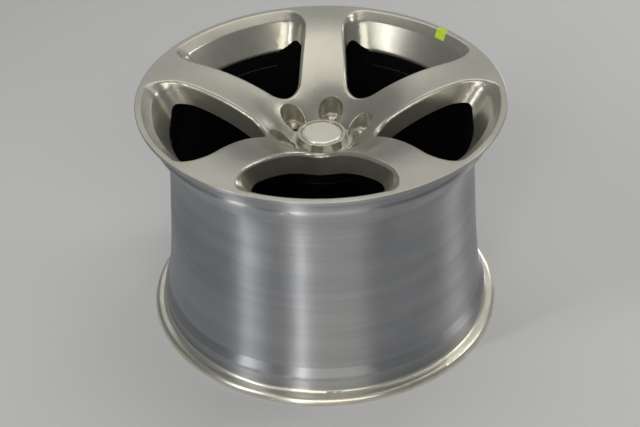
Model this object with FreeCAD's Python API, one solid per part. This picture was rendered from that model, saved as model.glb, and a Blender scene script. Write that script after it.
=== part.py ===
import FreeCAD, Part
import math, os
from FreeCAD import Vector

# One-piece five-spoke road wheel standing on its inboard flange, face up.
# The origin is at the centre of the inboard flange face and +Z is the wheel's axis.
# Depths are measured down from the outboard face plane.

# ---- overall sizes -------------------------------------------------------------------------
SEAT_DIA = 482.6          # 19 inch, across the bead seats at the heels
BEAD_WIDTH = 330.2        # 13 inch, between the tyre sides of the flanges
FLANGE_HEIGHT = 17.5
FLANGE_THICK = 9.25
FLANGE_ROLL = 8.0         # curl of the flange edge on the tyre side
HEEL_R = 6.5
WIDTH = BEAD_WIDTH + 2 * FLANGE_THICK
SEAT_R = SEAT_DIA / 2
RIM_R = SEAT_R + FLANGE_HEIGHT
EDGE_R = 1.2

# ---- barrel --------------------------------------------------------------------------------
SEAT_TAPER = 5.0          # degrees
SEAT_LENGTH = 20.0        # flange face to the foot of the hump
HUMP_RISE = 1.6
HUMP_HALF = 4.0
WELL_R = 218.0
DROP_TOP = 40.0           # depth where the outboard side of the well starts
DROP_FOOT = 66.0
DROP_FOOT_R = 221.0
WELL_START = 84.0
WELL_END = 108.0
BREAK_DEPTH = 221.0       # turned line where the taper of the barrel changes
BREAK_R = 225.3
TAPER_STOP = 46.7         # inboard face to the end of the taper
TAPER_END = WIDTH - TAPER_STOP
TAPER_END_R = 233.4
WALL = 4.5
BEAD_WALL = 6.5           # wall under the inboard bead seat

# ---- face ----------------------------------------------------------------------------------
DISH_R = 255.0            # crown of the spokes along their length
DISH_TOP_R = 225.0        # radius where the crown reaches the face plane
VALLEY_FLAT = 6.09        # width of the valley floor round the hub boss
VALLEY_ROLL = 4.0
SPOKE_DEPTH = 30.0
LIP_FLAT_R = 250.0
BEVEL_FOOT_R = 236.5
BEVEL_DEPTH = 10.0
THROAT_R = 214.0          # foot of the sloping window wall
THROAT_DEPTH = 45.5
BEVEL_FOOT_ROLL = 7.0
THROAT_ROLL = 10.0
RUNOUT = 0.5              # step left by the window cutter in the wall behind
EDGE_ROLL = 5.5           # soft edge all round each window

# ---- spokes and windows --------------------------------------------------------------------
SPOKES = 5
SPOKE_HALF = 35.4         # half width of a spoke at the face plane, produced to the axis
SPOKE_TAPER = 1.6         # degrees, each side
WINDOW_DRAFT = 4.0        # degrees
APEX_R = 33.0
CORNER_R = 30.0
FIRST_SPOKE = 18.0        # degrees

# ---- hub -----------------------------------------------------------------------------------
LUGS = 6
LUG_PCD = 114.3
LUG_HOLE = 14.5
LUG_SEAT = 22.0
POCKET_R = 17.0
POCKET_DEPTH = 80.5
POCKET_FOOT = 2.0
POCKET_EDGE = 1.2
PAD_DEPTH = 100.0
PAD_R = 77.0
PAD_CHAMFER = 1.2         # at the rim of the pad and the mouth of the hub bore
HUB_BORE = 66.1
BOSS_FOOT_ROLL = 1.2

RELIEF_R = 10.0           # round pockets in the pad between the lug holes
RELIEF_DEPTH = 12.0

# ---- pocket milled in the back of each spoke -------------------------------------------------
BACK_NEAR = 98.0
BACK_FAR = 196.0
BACK_WALL = 10.0          # side wall left at the back face of a spoke
BACK_SKIN = 14.0          # thickness left under the face
BACK_CORNER = 12.0
BACK_ROLL = 5.0

# ---- cap -----------------------------------------------------------------------------------
CAP_R = 28.9
CAP_DEPTH = 63.0
CAP_THICK = 3.8
CAP_GAP = 0.7
CAP_LEDGE = 1.9           # overlap of the cap's edge on its seat
SNAP_CATCH = 1.4          # depth of the groove the fingers snap into
SNAP_DROP = 7.2           # seat of the cap to the groove
SNAP_HEIGHT = 5.0
FINGER_CLEAR = 0.4
FINGER_THICK = 2.0
FINGERS = 6
FINGER_SLOT = 6.0
WIRE_DIA = 1.6
CAP_GROOVE_IN = 4.3       # ring cut in the face of the cap, in from its edge
CAP_GROOVE = 0.8
CAP_SEAT_DEPTH = CAP_DEPTH + CAP_THICK
CAP_BORE_R = CAP_R - CAP_LEDGE
CAP_GROOVE_R = CAP_R - CAP_GROOVE_IN
SNAP_R = CAP_BORE_R + SNAP_CATCH
SNAP_TOP = CAP_SEAT_DEPTH + SNAP_DROP
SNAP_FOOT = SNAP_TOP + SNAP_HEIGHT
BOSS_WALL = 4.9           # round the cap
BOSS_SPREAD = 2.5
BOSS_RISE = 0.8           # the boss stands this far short of the cap's face
BORE_LEAD = 5.0           # from the snap groove to the hub bore
BOSS_R = CAP_R + CAP_GAP + BOSS_WALL
BOSS_FOOT_R = BOSS_R + BOSS_SPREAD
BOSS_DEPTH = CAP_DEPTH + BOSS_RISE
HUB_BORE_TOP = SNAP_FOOT + BORE_LEAD

# ---- valve hole and sticker ----------------------------------------------------------------
VALVE_HOLE = 11.3
VALVE_DEPTH = 74.0
VALVE_SPOT = 18.0
VALVE_WALL = 4.0
STICKER_TOP_R = 256.6     # folded over the edge between the flat lip and its bevel
STICKER_FOOT_R = 239.0
STICKER_WIDTH = 17.0
STICKER_THICK = 0.15
STICKER_ANGLE = 45.0
STICKER_TURN = 19.0


def rad(a):
    return math.radians(a)


def at(r, depth):
    return Vector(r, 0, WIDTH - depth)


def about(r, depth, radius, a0, a1):
    """Arc in the section plane about a centre; angles run from outward (0) towards up (90)."""
    pts = [at(r + radius * math.cos(rad(a)), depth - radius * math.sin(rad(a)))
           for a in (a0, (a0 + a1) / 2, a1)]
    return Part.Arc(*pts)


def through(a, b, c):
    return Part.Arc(at(*a), at(*b), at(*c))


def section(items):
    """Closed wire through points (r, depth) and arcs, joined in order by straight lines."""
    edges, first, last = [], None, None
    for it in items:
        start, end = (it.StartPoint, it.EndPoint) if hasattr(it, "StartPoint") else (at(*it),) * 2
        if last is None:
            first = start
        elif last.distanceToPoint(start) > 1e-6:
            edges.append(Part.LineSegment(last, start).toShape())
        if hasattr(it, "StartPoint"):
            edges.append(it.toShape())
        last = end
    if last.distanceToPoint(first) > 1e-6:
        edges.append(Part.LineSegment(last, first).toShape())
    return Part.Wire(edges)


def turned(items, angle=360):
    return Part.Face(section(items)).revolve(Vector(), Vector(0, 0, 1), angle)


def circles(shape, corners):
    """Edges of a turned shape that run round the axis through the given (r, depth) corners."""
    found = []
    for e in shape.Edges:
        p = e.valueAt(e.FirstParameter)
        for r, d in corners:
            if abs(math.hypot(p.x, p.y) - r) < 1e-4 and abs(p.z - (WIDTH - d)) < 1e-4:
                found.append(e)
    return found


# ---- section of the blank ------------------------------------------------------------------
def dish(r, under=0.0):
    """Depth of the dish at radius r, or of the surface a given thickness under it."""
    return DISH_R - math.sqrt((DISH_R - under) ** 2 - min(r - DISH_TOP_R, 0) ** 2)


def lean(r, under=0.0):
    """Angle on the dish, in degrees from the face plane's 90, where it passes radius r."""
    return 90 + math.degrees(math.asin((DISH_TOP_R - r) / (DISH_R - under)))


def seat(depth_in):
    return SEAT_R - depth_in * math.tan(rad(SEAT_TAPER))


inner_r = WELL_R - WALL
back_meet = dish(inner_r, SPOKE_DEPTH)
pad_top = dish(PAD_R, SPOKE_DEPTH)
valley_r = BOSS_FOOT_R + VALLEY_FLAT
valley_depth = dish(valley_r)
hump_in = FLANGE_THICK + SEAT_LENGTH + HUMP_HALF

blank_section = [
    (CAP_BORE_R, CAP_SEAT_DEPTH),
    (CAP_R + CAP_GAP, CAP_SEAT_DEPTH),
    (CAP_R + CAP_GAP, BOSS_DEPTH + 0.6),
    (CAP_R + CAP_GAP + 0.6, BOSS_DEPTH),
    (BOSS_R, BOSS_DEPTH),
    (BOSS_FOOT_R, valley_depth),
    about(DISH_TOP_R, DISH_R, DISH_R, lean(valley_r), 90),
    (RIM_R - EDGE_R, 0),
    about(RIM_R - EDGE_R, EDGE_R, EDGE_R, 90, 0),
    about(RIM_R - FLANGE_ROLL, FLANGE_THICK - FLANGE_ROLL, FLANGE_ROLL, 0, -90),
    (SEAT_R, FLANGE_THICK),
    through((seat(SEAT_LENGTH), FLANGE_THICK + SEAT_LENGTH),
            (seat(SEAT_LENGTH) + HUMP_RISE, hump_in),
            (seat(SEAT_LENGTH), hump_in + HUMP_HALF)),
    (seat(SEAT_LENGTH) - 0.8, DROP_TOP),
    (DROP_FOOT_R, DROP_FOOT),
    (WELL_R, WELL_START),
    (WELL_R, WELL_END),
    (BREAK_R, BREAK_DEPTH),
    (TAPER_END_R, TAPER_END),
    through((seat(SEAT_LENGTH), WIDTH - hump_in - HUMP_HALF),
            (seat(SEAT_LENGTH) + HUMP_RISE, WIDTH - hump_in),
            (seat(SEAT_LENGTH), WIDTH - FLANGE_THICK - SEAT_LENGTH)),
    (SEAT_R, WIDTH - FLANGE_THICK),
    about(RIM_R - FLANGE_ROLL, WIDTH - FLANGE_THICK + FLANGE_ROLL, FLANGE_ROLL, 90, 0),
    about(RIM_R - EDGE_R, WIDTH - EDGE_R, EDGE_R, 0, -90),
    (SEAT_R - BEAD_WALL + 0.5, WIDTH),
    (SEAT_R - BEAD_WALL - 1.0, WIDTH - 1.5),
    (SEAT_R - BEAD_WALL - 1.0, WIDTH - hump_in - HUMP_HALF + 4),
    (TAPER_END_R - WALL, TAPER_END),
    (BREAK_R - WALL, BREAK_DEPTH),
    (inner_r, WELL_END),
    (inner_r, back_meet),
    about(DISH_TOP_R, DISH_R, DISH_R - SPOKE_DEPTH,
          lean(inner_r, SPOKE_DEPTH), lean(PAD_R, SPOKE_DEPTH)),
    (PAD_R, PAD_DEPTH - PAD_CHAMFER),
    (PAD_R - PAD_CHAMFER, PAD_DEPTH),
    (HUB_BORE / 2 + PAD_CHAMFER, PAD_DEPTH),
    (HUB_BORE / 2, PAD_DEPTH - PAD_CHAMFER),
    (HUB_BORE / 2, HUB_BORE_TOP),
    (SNAP_R, SNAP_FOOT),
    (SNAP_R, SNAP_TOP + 1.4),
    (CAP_BORE_R, SNAP_TOP),
]
blank = turned(blank_section)

# Machined corners of the blank: heels, sides of the well, ramps of the humps, back of the disc.
ROUNDS = [
    (HEEL_R, [(SEAT_R, FLANGE_THICK), (SEAT_R, WIDTH - FLANGE_THICK)]),
    (3.0, [(seat(SEAT_LENGTH), FLANGE_THICK + SEAT_LENGTH),
           (seat(SEAT_LENGTH), WIDTH - FLANGE_THICK - SEAT_LENGTH)]),
    (12.0, [(DROP_FOOT_R, DROP_FOOT)]),
    (4.0, [(TAPER_END_R, TAPER_END)]),
    (8.0, [(TAPER_END_R - WALL, TAPER_END)]),
    (6.0, [(inner_r, back_meet)]),
    (6.0, [(PAD_R, pad_top)]),
    (VALLEY_ROLL, [(valley_r, valley_depth)]),
    (BOSS_FOOT_ROLL, [(BOSS_FOOT_R, valley_depth)]),
    (1.0, [(BOSS_R, BOSS_DEPTH)]),
]
for radius, corners in ROUNDS:
    blank = blank.makeFillet(radius, circles(blank, corners))

# ---- windows -------------------------------------------------------------------------------
# The outer side of each window is turned: lip bevel, rolled foot and sloping throat.
throat_slope = (THROAT_DEPTH - BEVEL_DEPTH) / (BEVEL_FOOT_R - THROAT_R)
runout_r = inner_r + RUNOUT
runout_depth = THROAT_DEPTH + (THROAT_R - runout_r) * throat_slope
bevel_run = LIP_FLAT_R - BEVEL_FOOT_R
void = turned([
    (0, -2 * BEVEL_DEPTH), (LIP_FLAT_R + 2 * bevel_run, -2 * BEVEL_DEPTH),
    (BEVEL_FOOT_R, BEVEL_DEPTH), (runout_r, runout_depth), (runout_r, 72), (0, 120)])
void.rotate(Vector(), Vector(0, 0, 1), 180)
void = void.makeFillet(BEVEL_FOOT_ROLL, circles(void, [(BEVEL_FOOT_R, BEVEL_DEPTH)]))
void = void.makeFillet(THROAT_ROLL, circles(void, [(runout_r, runout_depth)]))

half = rad(180 / SPOKES + SPOKE_TAPER)
vertex = SPOKE_HALF / math.cos(rad(SPOKE_TAPER)) / math.sin(half)
slide = math.tan(rad(WINDOW_DRAFT)) / math.sin(half)   # outward shift of the vertex per unit depth
top, deep, reach = 2 * BEVEL_DEPTH, 125.0, 420.0
v = vertex - slide * top
wedge = Part.Face(Part.makePolygon([
    Vector(v, 0, WIDTH + top),
    Vector(v + reach * math.cos(half), reach * math.sin(half), WIDTH + top),
    Vector(v + reach * math.cos(half), -reach * math.sin(half), WIDTH + top),
    Vector(v, 0, WIDTH + top)])).extrude(Vector(slide * (top + deep), 0, -(top + deep)))
cutter = wedge.common(void).Solids[0]


def upright(shape, near_r, far_r, top_depth, end_depth):
    """Edges of a cutter that run down between two depths, within a band of radius."""
    found = []
    for e in shape.Edges:
        a, b = e.valueAt(e.FirstParameter), e.valueAt(e.LastParameter)
        da, db = sorted((WIDTH - a.z, WIDTH - b.z))
        radii = [math.hypot(p.x, p.y) for p in (a, b)]
        if db - da > 0.5 and da >= top_depth - 1e-3 and db <= end_depth + 1e-3:
            if min(radii) >= near_r and max(radii) <= far_r:
                found.append(e)
    return found


cutter = cutter.makeFillet(CORNER_R, upright(cutter, 200, 300, -top, 72))
cutter = cutter.makeFillet(APEX_R, upright(cutter, 30, 100, -top, 110))

wheel = blank
for k in range(SPOKES):
    c = cutter.copy()
    c.rotate(Vector(), Vector(0, 0, 1), FIRST_SPOKE + 180 / SPOKES + k * 360 / SPOKES)
    wheel = wheel.cut(c)
wheel = wheel.Solids[0]


def on_dish(e):
    n = 5
    span = e.LastParameter - e.FirstParameter
    pts = [e.valueAt(e.FirstParameter + span * i / n) for i in range(n + 1)]
    radii = [math.hypot(p.x, p.y) for p in pts]
    if min(radii) < BOSS_R + 10 or max(radii) > LIP_FLAT_R + 0.01:
        return False
    if any(abs(WIDTH - p.z - dish(r)) > 0.02 for p, r in zip(pts, radii)):
        return False
    return max(radii) - min(radii) > 0.02 or radii[0] > LIP_FLAT_R - 1


wheel = wheel.makeFillet(EDGE_ROLL, [e for e in wheel.Edges if on_dish(e)])

# ---- back of the spokes --------------------------------------------------------------------
skin = turned([
    (BACK_NEAR - 10, 140),
    about(DISH_TOP_R, DISH_R, DISH_R - BACK_SKIN,
          lean(BACK_NEAR - 10, BACK_SKIN), lean(BACK_FAR + 8, BACK_SKIN)),
    (BACK_FAR + 8, 140)])
skin.rotate(Vector(), Vector(0, 0, 1), 180)


def spoke_half(r, depth):
    return SPOKE_HALF - r * math.tan(rad(SPOKE_TAPER)) + depth * math.tan(rad(WINDOW_DRAFT))


near_half = spoke_half(BACK_NEAR, dish(BACK_NEAR)) - BACK_WALL
far_half = spoke_half(BACK_FAR, dish(BACK_FAR)) - BACK_WALL
slot = Part.Face(Part.makePolygon([
    Vector(BACK_NEAR, -near_half, WIDTH - 140), Vector(BACK_FAR, -far_half, WIDTH - 140),
    Vector(BACK_FAR, far_half, WIDTH - 140), Vector(BACK_NEAR, near_half, WIDTH - 140),
    Vector(BACK_NEAR, -near_half, WIDTH - 140)])).extrude(Vector(0, 0, 140))
slot = slot.makeFillet(BACK_CORNER, [e for e in slot.Edges if abs(
    e.Vertexes[0].Point.z - e.Vertexes[1].Point.z) > 1])
slot = slot.common(skin).Solids[0]
slot = slot.makeFillet(BACK_ROLL, [e for e in slot.Edges
                                   if e.BoundBox.ZMin > WIDTH - 120 and e.BoundBox.ZLength < 45
                                   and e.BoundBox.DiagonalLength > 1])

# ---- lug pockets, valve hole ---------------------------------------------------------------
seat_run = (LUG_SEAT - LUG_HOLE) / 2 / math.tan(rad(30))
lug = turned([
    (0, 20), (POCKET_R + 1.2, 20), (POCKET_R, POCKET_DEPTH), (LUG_SEAT / 2, POCKET_DEPTH),
    (LUG_HOLE / 2, POCKET_DEPTH + seat_run), (LUG_HOLE / 2, PAD_DEPTH + 5), (0, PAD_DEPTH + 5)])
lug = lug.makeFillet(POCKET_FOOT, circles(lug, [(POCKET_R, POCKET_DEPTH)]))
relief = turned([
    (0, PAD_DEPTH + 5), (RELIEF_R, PAD_DEPTH + 5),
    (RELIEF_R, PAD_DEPTH - RELIEF_DEPTH), (0, PAD_DEPTH - RELIEF_DEPTH)])
tools = []
for k in range(LUGS):
    for tool, turn in ((lug, 0), (relief, 180 / LUGS)):
        t = tool.copy()
        t.translate(Vector(LUG_PCD / 2, 0, 0))
        t.rotate(Vector(), Vector(0, 0, 1), FIRST_SPOKE + turn + k * 360 / LUGS)
        tools.append(t)
for k in range(SPOKES):
    t = slot.copy()
    t.rotate(Vector(), Vector(0, 0, 1), FIRST_SPOKE + k * 360 / SPOKES)
    tools.append(t)

valve_r = WELL_R + (DROP_FOOT_R - WELL_R) * (WELL_START - VALVE_DEPTH) / (WELL_START - DROP_FOOT)
tilt = math.atan2(DROP_FOOT_R - WELL_R, WELL_START - DROP_FOOT)
out = Vector(math.cos(tilt), 0, -math.sin(tilt))
mouth = at(valve_r, VALVE_DEPTH)
valve = Part.makeCylinder(VALVE_HOLE / 2, 40, mouth - out * 20, out)
valve = valve.fuse(Part.makeCylinder(VALVE_SPOT / 2, 15, mouth - out * VALVE_WALL, out * -1))
valve.rotate(Vector(), Vector(0, 0, 1), FIRST_SPOKE + 360 / SPOKES)
tools.append(valve)
wheel = wheel.cut(tools).Solids[0]


def on_pocket(e):
    """Rim of a lug pocket: an edge on a pocket wall that lies in the face of the wheel."""
    for i in (0, 0.5, 1):
        p = e.valueAt(e.FirstParameter + (e.LastParameter - e.FirstParameter) * i)
        turn = math.degrees(math.atan2(p.y, p.x)) - FIRST_SPOKE
        near = rad(FIRST_SPOKE + round(turn * LUGS / 360) * 360 / LUGS)
        off = math.hypot(p.x - LUG_PCD / 2 * math.cos(near), p.y - LUG_PCD / 2 * math.sin(near))
        if abs(off - POCKET_R - 0.6) > 0.6 or WIDTH - p.z > valley_depth + 0.5:
            return False
    return e.Length > 1


wheel = wheel.makeFillet(POCKET_EDGE, [e for e in wheel.Edges if on_pocket(e)])

# ---- centre cap and its ring ---------------------------------------------------------------
finger_r = CAP_BORE_R - FINGER_CLEAR
finger_in = finger_r - FINGER_THICK
barb_r = SNAP_R - FINGER_CLEAR
wire_r = finger_in - WIRE_DIA / 4
wire_depth = SNAP_FOOT - 2.6
groove = WIRE_DIA / 2
chord = math.sqrt(groove ** 2 - (finger_in - wire_r) ** 2)
cap = turned([
    (0, CAP_DEPTH), (CAP_GROOVE_R, CAP_DEPTH), (CAP_GROOVE_R, CAP_DEPTH + 0.5),
    (CAP_GROOVE_R + CAP_GROOVE, CAP_DEPTH + 0.5), (CAP_GROOVE_R + CAP_GROOVE, CAP_DEPTH),
    (CAP_R - 1.0, CAP_DEPTH + 0.8), (CAP_R, CAP_DEPTH + 1.8),
    (CAP_R, CAP_SEAT_DEPTH), (finger_r, CAP_SEAT_DEPTH), (finger_r, SNAP_TOP),
    (barb_r, SNAP_TOP + 1.8), (barb_r, SNAP_TOP + 2.8), (finger_r - 0.3, SNAP_FOOT - 0.2),
    (finger_in, SNAP_FOOT - 0.2), (finger_in, wire_depth + chord),
    through((finger_in, wire_depth + chord), (wire_r + groove, wire_depth),
            (finger_in, wire_depth - chord)),
    (finger_in, CAP_SEAT_DEPTH - 1.4), (0, CAP_SEAT_DEPTH - 1.4)])
slots = []
for k in range(FINGERS):
    b = Part.makeBox(10, FINGER_SLOT, 20,
                     Vector(finger_in - 4, -FINGER_SLOT / 2, WIDTH - CAP_SEAT_DEPTH - 21.5))
    b.rotate(Vector(), Vector(0, 0, 1), FIRST_SPOKE + 180 / FINGERS + k * 360 / FINGERS)
    slots.append(b)
cap = cap.cut(slots).Solids[0]

ring = Part.makeTorus(wire_r, WIRE_DIA / 2, Vector(0, 0, WIDTH - wire_depth), Vector(0, 0, 1), -180, 180, 340)
ring.rotate(Vector(), Vector(0, 0, 1), FIRST_SPOKE + 180 / FINGERS + 10)

# ---- sticker on the bevel of the lip -------------------------------------------------------
slope = math.degrees(math.atan2(BEVEL_DEPTH, bevel_run))
tangent = EDGE_ROLL * math.tan(rad(slope / 2))


def on_bevel(r, lift=0.0):
    """Point at radius r on the bevel, lifted off it."""
    depth = (LIP_FLAT_R - r) * BEVEL_DEPTH / bevel_run
    return (r - lift * math.sin(rad(slope)), depth - lift * math.cos(rad(slope)))


roll = (LIP_FLAT_R + tangent, EDGE_ROLL)
film = turned([
    (STICKER_TOP_R, 0), about(*roll, EDGE_ROLL, 90, 90 + slope),
    on_bevel(STICKER_FOOT_R), on_bevel(STICKER_FOOT_R, STICKER_THICK),
    about(*roll, EDGE_ROLL + STICKER_THICK, 90 + slope, 90),
    (STICKER_TOP_R, -STICKER_THICK)], 12)
film.rotate(Vector(), Vector(0, 0, 1), -6)
blade = Part.makeBox(60, STICKER_WIDTH, 40, Vector(-30, -STICKER_WIDTH / 2, -20))
blade.rotate(Vector(), Vector(0, 0, 1), STICKER_TURN)
blade.rotate(Vector(), Vector(0, 1, 0), -slope * 0.7)
blade.translate(at(*on_bevel((STICKER_TOP_R + STICKER_FOOT_R) / 2)))
sticker = film.common(blade).Solids[0]
sticker.rotate(Vector(), Vector(0, 0, 1), STICKER_ANGLE)

os.makedirs("parts", exist_ok=True)
for name, shape in (("wheel", wheel), ("centre_cap", cap), ("cap_spring_ring", ring), ("sticker", sticker)):
    shape.exportStep("parts/" + name + ".step")
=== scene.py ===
import math

import bmesh
import bpy
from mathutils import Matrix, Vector


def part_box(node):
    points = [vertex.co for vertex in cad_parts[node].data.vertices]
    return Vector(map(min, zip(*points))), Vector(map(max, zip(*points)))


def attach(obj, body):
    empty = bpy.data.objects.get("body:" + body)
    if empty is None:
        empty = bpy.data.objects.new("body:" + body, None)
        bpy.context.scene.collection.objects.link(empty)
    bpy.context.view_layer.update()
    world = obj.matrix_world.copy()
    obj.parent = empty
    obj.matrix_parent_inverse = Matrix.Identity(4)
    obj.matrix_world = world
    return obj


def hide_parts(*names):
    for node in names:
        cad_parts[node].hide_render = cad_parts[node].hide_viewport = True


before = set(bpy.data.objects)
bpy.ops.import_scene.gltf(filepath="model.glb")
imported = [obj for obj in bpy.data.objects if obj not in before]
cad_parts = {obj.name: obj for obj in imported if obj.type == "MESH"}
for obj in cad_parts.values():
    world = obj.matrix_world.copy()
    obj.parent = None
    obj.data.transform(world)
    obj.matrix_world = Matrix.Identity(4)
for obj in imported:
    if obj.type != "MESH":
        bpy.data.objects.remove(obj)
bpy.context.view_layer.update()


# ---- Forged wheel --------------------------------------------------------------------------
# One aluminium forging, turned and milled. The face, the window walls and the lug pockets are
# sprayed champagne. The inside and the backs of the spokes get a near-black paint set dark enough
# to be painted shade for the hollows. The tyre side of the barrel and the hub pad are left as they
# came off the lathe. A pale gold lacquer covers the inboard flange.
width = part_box("wheel")[1].z
CREASE = math.radians(24)
WELD = 1e-6
EDGE_DEPTH = 0.0013          # the rounded outer edge of the lip, still painted
BARREL_R = 0.215             # nothing of the tyre side lies nearer to the axis
FLANGE_R = 1.1 * BARREL_R    # nor of the flanges, their seats and the humps
FLANGE_HEIGHT = 0.0135       # the lacquer stops at the heel of the inboard seat
HUB_R = 0.080
PAD_R = 0.0762
PAD_DEPTH = 0.0985
LUG_FLOOR_DEPTH = 0.0807
OUTWARD = 0.05               # least slope of a surface that counts as facing away from the axis
UPWARD = 0.03                # and of one that the paint gun reached from above
POCKET_WALL = -0.1
LEDGE = 0.5
# The third finish is near-black paint that also stands as painted shade inside the wheel.
PAINT, BARE, BLACK_SHADE, LACQUER = range(4)


def smooth_copy(node, name):
    """The node's surface as one joined mesh, soft across its fillets and crisp at its corners."""
    mesh = bpy.data.meshes.new(name)
    form = bmesh.new()
    form.from_mesh(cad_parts[node].data)
    bmesh.ops.remove_doubles(form, verts=form.verts, dist=WELD)
    for face in form.faces:
        face.smooth = True
    for edge in form.edges:
        edge.smooth = edge.is_manifold and edge.calc_face_angle() < CREASE
    form.to_mesh(mesh)
    form.free()
    piece = bpy.data.objects.new(name, mesh)
    bpy.context.scene.collection.objects.link(piece)
    even = piece.modifiers.new("even_shading", "WEIGHTED_NORMAL")
    even.keep_sharp = True
    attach(piece, "root")
    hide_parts(node)
    return piece


def finish_at(middle, normal):
    """Which finish a small patch of the wheel has, from its place and the way it faces."""
    radius = math.hypot(middle.x, middle.y)
    depth = width - middle.z
    outward = (normal.x * middle.x + normal.y * middle.y) / max(radius, WELD)
    if depth < EDGE_DEPTH:
        return PAINT
    if radius > FLANGE_R and middle.z < FLANGE_HEIGHT:
        return LACQUER
    if radius > BARREL_R and outward > OUTWARD:
        return BARE
    if radius > FLANGE_R and (normal.z < -LEDGE or depth > width / 2 and normal.z > LEDGE):
        return BARE
    # Round the hub, downward faces off the pad get the near-black finish, painted shade.
    if radius < HUB_R and depth > LUG_FLOOR_DEPTH:
        if depth > PAD_DEPTH and radius < PAD_R:
            return BARE
        return PAINT if normal.z > -LEDGE and radius < PAD_R else BLACK_SHADE
    if radius < HUB_R and normal.z > POCKET_WALL:
        return PAINT
    # Whatever faces away from the paint gun gets the near-black finish, painted shade for the
    # inside of the wheel.
    return PAINT if normal.z > UPWARD else BLACK_SHADE


wheel = smooth_copy("wheel", "forged_wheel")


class Value:
    """A shader socket that takes part in Python arithmetic."""

    def __init__(self, tree, socket):
        self.tree = tree
        self.socket = socket

    def maths(self, operation, *others):
        return self.tree.value("ShaderNodeMath", {"operation": operation}, self, *others)

    def __add__(self, other):
        return self.maths("ADD", other)

    def __mul__(self, other):
        return self.maths("MULTIPLY", other)

    __radd__ = __add__
    __rmul__ = __mul__

    def ramp(self, low, high):
        """0 at low and 1 at high, smooth between."""
        smooth = {"interpolation_type": "SMOOTHSTEP"}
        return self.tree.value("ShaderNodeMapRange", smooth, self, low, high, 0.0, 1.0)


class Finish:
    """A node material on a Principled surface."""

    def __init__(self, name, **constants):
        self.material = bpy.data.materials.new(name)
        self.material.use_nodes = True
        self.nodes = self.material.node_tree.nodes
        self.links = self.material.node_tree.links
        self.surface = self.nodes["Principled BSDF"]
        for socket, amount in constants.items():
            self.surface.inputs[socket.replace("_", " ")].default_value = amount
        self.place = Value(self, self.nodes.new("ShaderNodeTexCoord").outputs["Object"])

    def node(self, kind, settings, *inputs, **named):
        """A node of the kind, its settings made first, then its sockets by order or by name."""
        made = self.nodes.new(kind)
        for key, setting in settings.items():
            setattr(made, key, setting)
        for key, given in list(enumerate(inputs)) + list(named.items()):
            socket = made.inputs[key.replace("_", " ") if isinstance(key, str) else key]
            if isinstance(given, Value):
                self.links.new(given.socket, socket)
            elif given is not None:
                socket.default_value = given
        return made

    def value(self, kind, settings, *inputs, **named):
        return Value(self, self.node(kind, settings, *inputs, **named).outputs[0])

    def turned(self, round_about):
        """Coordinates that run fast along and across the axis and slowly round it."""
        parts = self.node("ShaderNodeSeparateXYZ", {}, self.place).outputs
        x, y, z = (Value(self, part) for part in parts)
        radius = (x * x + y * y).maths("SQRT")
        return self.value("ShaderNodeCombineXYZ", {}, radius, z, (x + y * 1.3) * round_about)

    def noise(self, where, scale, detail=3.0, rough=0.55):
        return self.value("ShaderNodeTexNoise", {}, Vector=where, Scale=scale, Detail=detail,
                          Roughness=rough)

    def blend(self, factor, first, second):
        mix = self.node("ShaderNodeMix", {"data_type": "RGBA"})
        self.links.new(factor.socket, mix.inputs["Factor"])
        for socket, colour in ((mix.inputs[6], first), (mix.inputs[7], second)):
            if isinstance(colour, Value):
                self.links.new(colour.socket, socket)
            else:
                socket.default_value = (*colour, 1.0)
        return Value(self, mix.outputs[2])

    def bump(self, height, strength, distance):
        return self.value("ShaderNodeBump", {}, Strength=strength, Distance=distance, Height=height)

    def connect(self, **sockets):
        for socket, source in sockets.items():
            self.links.new(source.socket, self.surface.inputs[socket.replace("_", " ")])


CHAMPAGNE_DEEP = (0.475, 0.462, 0.392)
CHAMPAGNE_PALE = (0.535, 0.520, 0.445)
PAINT_DUST = (0.60, 0.59, 0.52)
METAL_FLAKE = (0.76, 0.74, 0.66)
ACROSS_GROOVES = 0.25        # turns the long side of a highlight across the lathe marks


def champagne(name, rough, lift=1.0):
    """Satin metallic paint: fine flake, a slow drift of tone and a faint orange peel."""
    deep, pale, dusty, bright = (tuple(part * lift for part in shade) for shade in (
        CHAMPAGNE_DEEP, CHAMPAGNE_PALE, PAINT_DUST, METAL_FLAKE))
    paint = Finish(name, Metallic=0.8, Coat_Weight=0.3, Coat_Roughness=0.14, IOR=1.5)
    cloud = paint.noise(paint.place, 9.0, 2.0)
    flake = paint.noise(paint.place, 2600.0, 1.0)
    dust = paint.noise(paint.place, 55.0, 5.0, 0.7)
    tone = paint.blend(cloud.ramp(0.35, 0.65), deep, pale)
    tone = paint.blend(dust.ramp(0.5, 0.8) * 0.25, tone, dusty)
    tone = paint.blend(flake.ramp(0.45, 0.75) * 0.22, tone, bright)
    peel = paint.noise(paint.place, 420.0, 2.0)
    paint.connect(
        Base_Color=tone,
        Roughness=flake * 0.10 + dust * 0.08 + (rough - 0.09),
        Normal=paint.bump(peel, 0.06, 0.0003),
    )
    return paint.material


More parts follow.
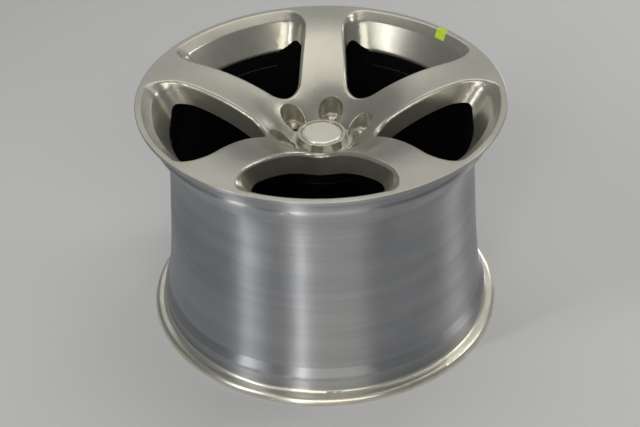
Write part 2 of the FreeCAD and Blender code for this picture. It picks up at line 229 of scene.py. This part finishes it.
def turned_metal(name):
    """Bare aluminium off the lathe: fine rings, broad rings of tool wear, smudges and specks."""
    metal = Finish(name, Metallic=1.0, Anisotropic=1.0, Anisotropic_Rotation=ACROSS_GROOVES)
    rings = metal.noise(metal.turned(0.02), 620.0, 3.0, 0.7)
    bands = metal.noise(metal.turned(0.03), 62.0, 3.0, 0.6)
    smudge = metal.noise(metal.turned(0.6), 9.0, 4.0, 0.55)
    spots = metal.noise(metal.place, 130.0, 2.0, 0.5)
    tone = metal.blend(bands.ramp(0.3, 0.7), (0.44, 0.45, 0.47), (0.53, 0.535, 0.55))
    tone = metal.blend(rings.ramp(0.35, 0.7) * 0.3, tone, (0.60, 0.60, 0.61))
    tone = metal.blend(smudge.ramp(0.5, 0.75) * 0.3, tone, (0.37, 0.38, 0.41))
    tone = metal.blend(spots.ramp(0.72, 0.78) * 0.35, tone, (0.28, 0.28, 0.29))
    metal.connect(
        Base_Color=tone,
        Roughness=rings * 0.08 + bands * 0.06 + smudge.ramp(0.45, 0.75) * 0.05 + 0.33,
        Normal=metal.bump(rings, 0.10, 0.0002),
    )
    return metal.material


def lacquered(name):
    """Bright turned aluminium under a thin warm lacquer that has run and pooled a little."""
    clear = Finish(name, Metallic=1.0, Coat_Weight=0.4,
                   Anisotropic=0.6, Anisotropic_Rotation=ACROSS_GROOVES)
    rings = clear.noise(clear.turned(0.02), 620.0, 3.0, 0.7)
    pool = clear.noise(clear.turned(0.5), 38.0, 4.0, 0.6)
    tone = clear.blend(pool.ramp(0.35, 0.7), (0.86, 0.84, 0.72), (0.74, 0.71, 0.58))
    tone = clear.blend(rings.ramp(0.4, 0.7) * 0.3, tone, (0.90, 0.89, 0.82))
    clear.connect(
        Base_Color=tone,
        Roughness=rings * 0.08 + pool * 0.16 + 0.22,
        Normal=clear.bump(rings * 0.5 + pool, 0.10, 0.0003),
    )
    return clear.material


def shade_black(name):
    """Near-black paint with a little dust in it, set dark enough to stand as painted shade inside
    the wheel.
    """
    paint = Finish(name, Metallic=0.0, IOR=1.4, Specular_IOR_Level=0.12)
    dust = paint.noise(paint.place, 70.0, 5.0, 0.7)
    # The near-zero tones are painted shade for the inside of the barrel, laid over a black finish.
    tone = paint.blend(dust.ramp(0.45, 0.85), (0.0035, 0.0035, 0.004), (0.010, 0.010, 0.011))
    paint.connect(Base_Color=tone, Roughness=dust * 0.2 + 0.68)
    return paint.material


wheel.data.materials.clear()
for finish in (champagne("champagne_paint", 0.30), turned_metal("turned_aluminium"),
               shade_black("black_painted_shade"), lacquered("flange_lacquer")):
    wheel.data.materials.append(finish)
for face in wheel.data.polygons:
    face.material_index = finish_at(face.center, face.normal)


# ---- Centre cap ----------------------------------------------------------------------------
# Moulded plastic, sprayed like the face but paler and a little duller, snapped into the hub by
# six fingers. Its face is plain, with one fine ring near the rim.
cap = smooth_copy("centre_cap", "cap")
cap.data.materials.clear()
cap.data.materials.append(champagne("cap_paint", 0.34, 1.45))


# ---- Spring ring of the cap ----------------------------------------------------------------
# A round spring wire that lies in a groove inside the fingers and keeps them spread.
spring = smooth_copy("cap_spring_ring", "cap_spring")
wire = Finish("spring_steel", Metallic=1.0)
drawn = wire.noise(wire.place, 1400.0, 2.0)
wire.connect(
    Base_Color=wire.blend(drawn, (0.42, 0.42, 0.43), (0.56, 0.56, 0.57)),
    Roughness=drawn * 0.12 + 0.22,
)
spring.data.materials.clear()
spring.data.materials.append(wire.material)


# ---- Sticker -------------------------------------------------------------------------------
# A scrap of yellow-green paper film pressed over the corner of the lip as an inspection mark,
# a little uneven in tone, with no print on it.
sticker = smooth_copy("sticker", "inspection_sticker")
film = Finish("yellow_green_film", IOR=1.45)
fibre = film.noise(film.place, 260.0, 4.0, 0.6)
film.connect(
    Base_Color=film.blend(fibre.ramp(0.35, 0.7), (0.52, 0.70, 0.035), (0.66, 0.82, 0.06)),
    Roughness=fibre * 0.15 + 0.42,
    Normal=film.bump(fibre, 0.15, 0.0002),
)
sticker.data.materials.clear()
sticker.data.materials.append(film.material)


# ---- Studio floor --------------------------------------------------------------------------
# A plain pale floor, wide enough to fill every view from above.
FLOOR_SIZE = 40.0
bpy.ops.mesh.primitive_plane_add(size=FLOOR_SIZE)
floor = bpy.context.object
floor.name = "studio_floor"
matt = Finish("pale_floor", Specular_IOR_Level=0.2)
mottle = matt.noise(matt.place, 1.2, 2.0)
matt.connect(
    Base_Color=matt.blend(mottle, (0.66, 0.66, 0.665), (0.70, 0.70, 0.70)),
    Roughness=mottle * 0.1 + 0.6,
)
floor.data.materials.append(matt.material)


# ---- Studio light --------------------------------------------------------------------------
# A dim even surround and four large softboxes, overhead, beyond the wheel, behind the camera and
# to the right, for the face and flanges. Upright strip lamps draw the long highlights down the
# barrel.
SURROUND_COLOUR = (0.80, 0.84, 0.90, 1.0)
SURROUND_STRENGTH = 0.17
AIM_HEIGHT = 0.6 * width
world = bpy.data.worlds.new("studio")
world.use_nodes = True
surround = world.node_tree.nodes["Background"]
surround.inputs["Color"].default_value = SURROUND_COLOUR
surround.inputs["Strength"].default_value = SURROUND_STRENGTH
bpy.context.scene.world = world


def softbox(name, azimuth, distance, height, size, watts, tint=(1.0, 1.0, 1.0)):
    """An area lamp at a bearing round the axis, 0 being behind the camera, aimed at the wheel."""
    light = bpy.data.lights.new(name, "AREA")
    light.shape = "RECTANGLE"
    light.size, light.size_y = size
    light.energy = watts
    light.color = tint
    lamp = bpy.data.objects.new(name, light)
    bpy.context.scene.collection.objects.link(lamp)
    bearing = math.radians(azimuth)
    lamp.location = (distance * math.sin(bearing), -distance * math.cos(bearing), height)
    aim = Vector((0.0, 0.0, AIM_HEIGHT)) - lamp.location
    lamp.rotation_euler = aim.to_track_quat("-Z", "Y").to_euler()


softbox("overhead", 168, 0.9, 2.7, (2.4, 2.2), 20, (1.0, 0.98, 0.93))
softbox("far_wall", 178, 2.8, 2.2, (3.4, 1.3), 6, (1.0, 0.99, 0.96))
softbox("behind_camera", 4, 2.7, 2.5, (2.8, 1.1), 30, (1.0, 0.96, 0.87))
softbox("strip_near", -13.5, 2.6, 1.0, (0.20, 1.7), 6)
softbox("strip_left", -52.7, 1.52, 1.37, (0.12, 1.1), 6)
softbox("back_right", 150, 2.6, 0.55, (0.5, 0.9), 6)
softbox("side_right", 112, 2.4, 2.0, (0.7, 0.7), 10, (1.0, 0.97, 0.90))


# ---- Camera --------------------------------------------------------------------------------
# A long lens from above the near side, a little to the right of the axis.
LENS = 80.55
SENSOR = 36.0
CAMERA_PLACE = (0.0577, -1.7028, 1.3951)
CAMERA_TURN = (53.66, 1.09, 1.31)   # degrees
camera_data = bpy.data.cameras.new("camera")
camera_data.lens = LENS
camera_data.sensor_width = SENSOR
camera = bpy.data.objects.new("camera", camera_data)
camera.location = CAMERA_PLACE
camera.rotation_euler = [math.radians(angle) for angle in CAMERA_TURN]
bpy.context.scene.collection.objects.link(camera)
bpy.context.scene.camera = camera
bpy.context.scene.view_settings.view_transform = "Standard"
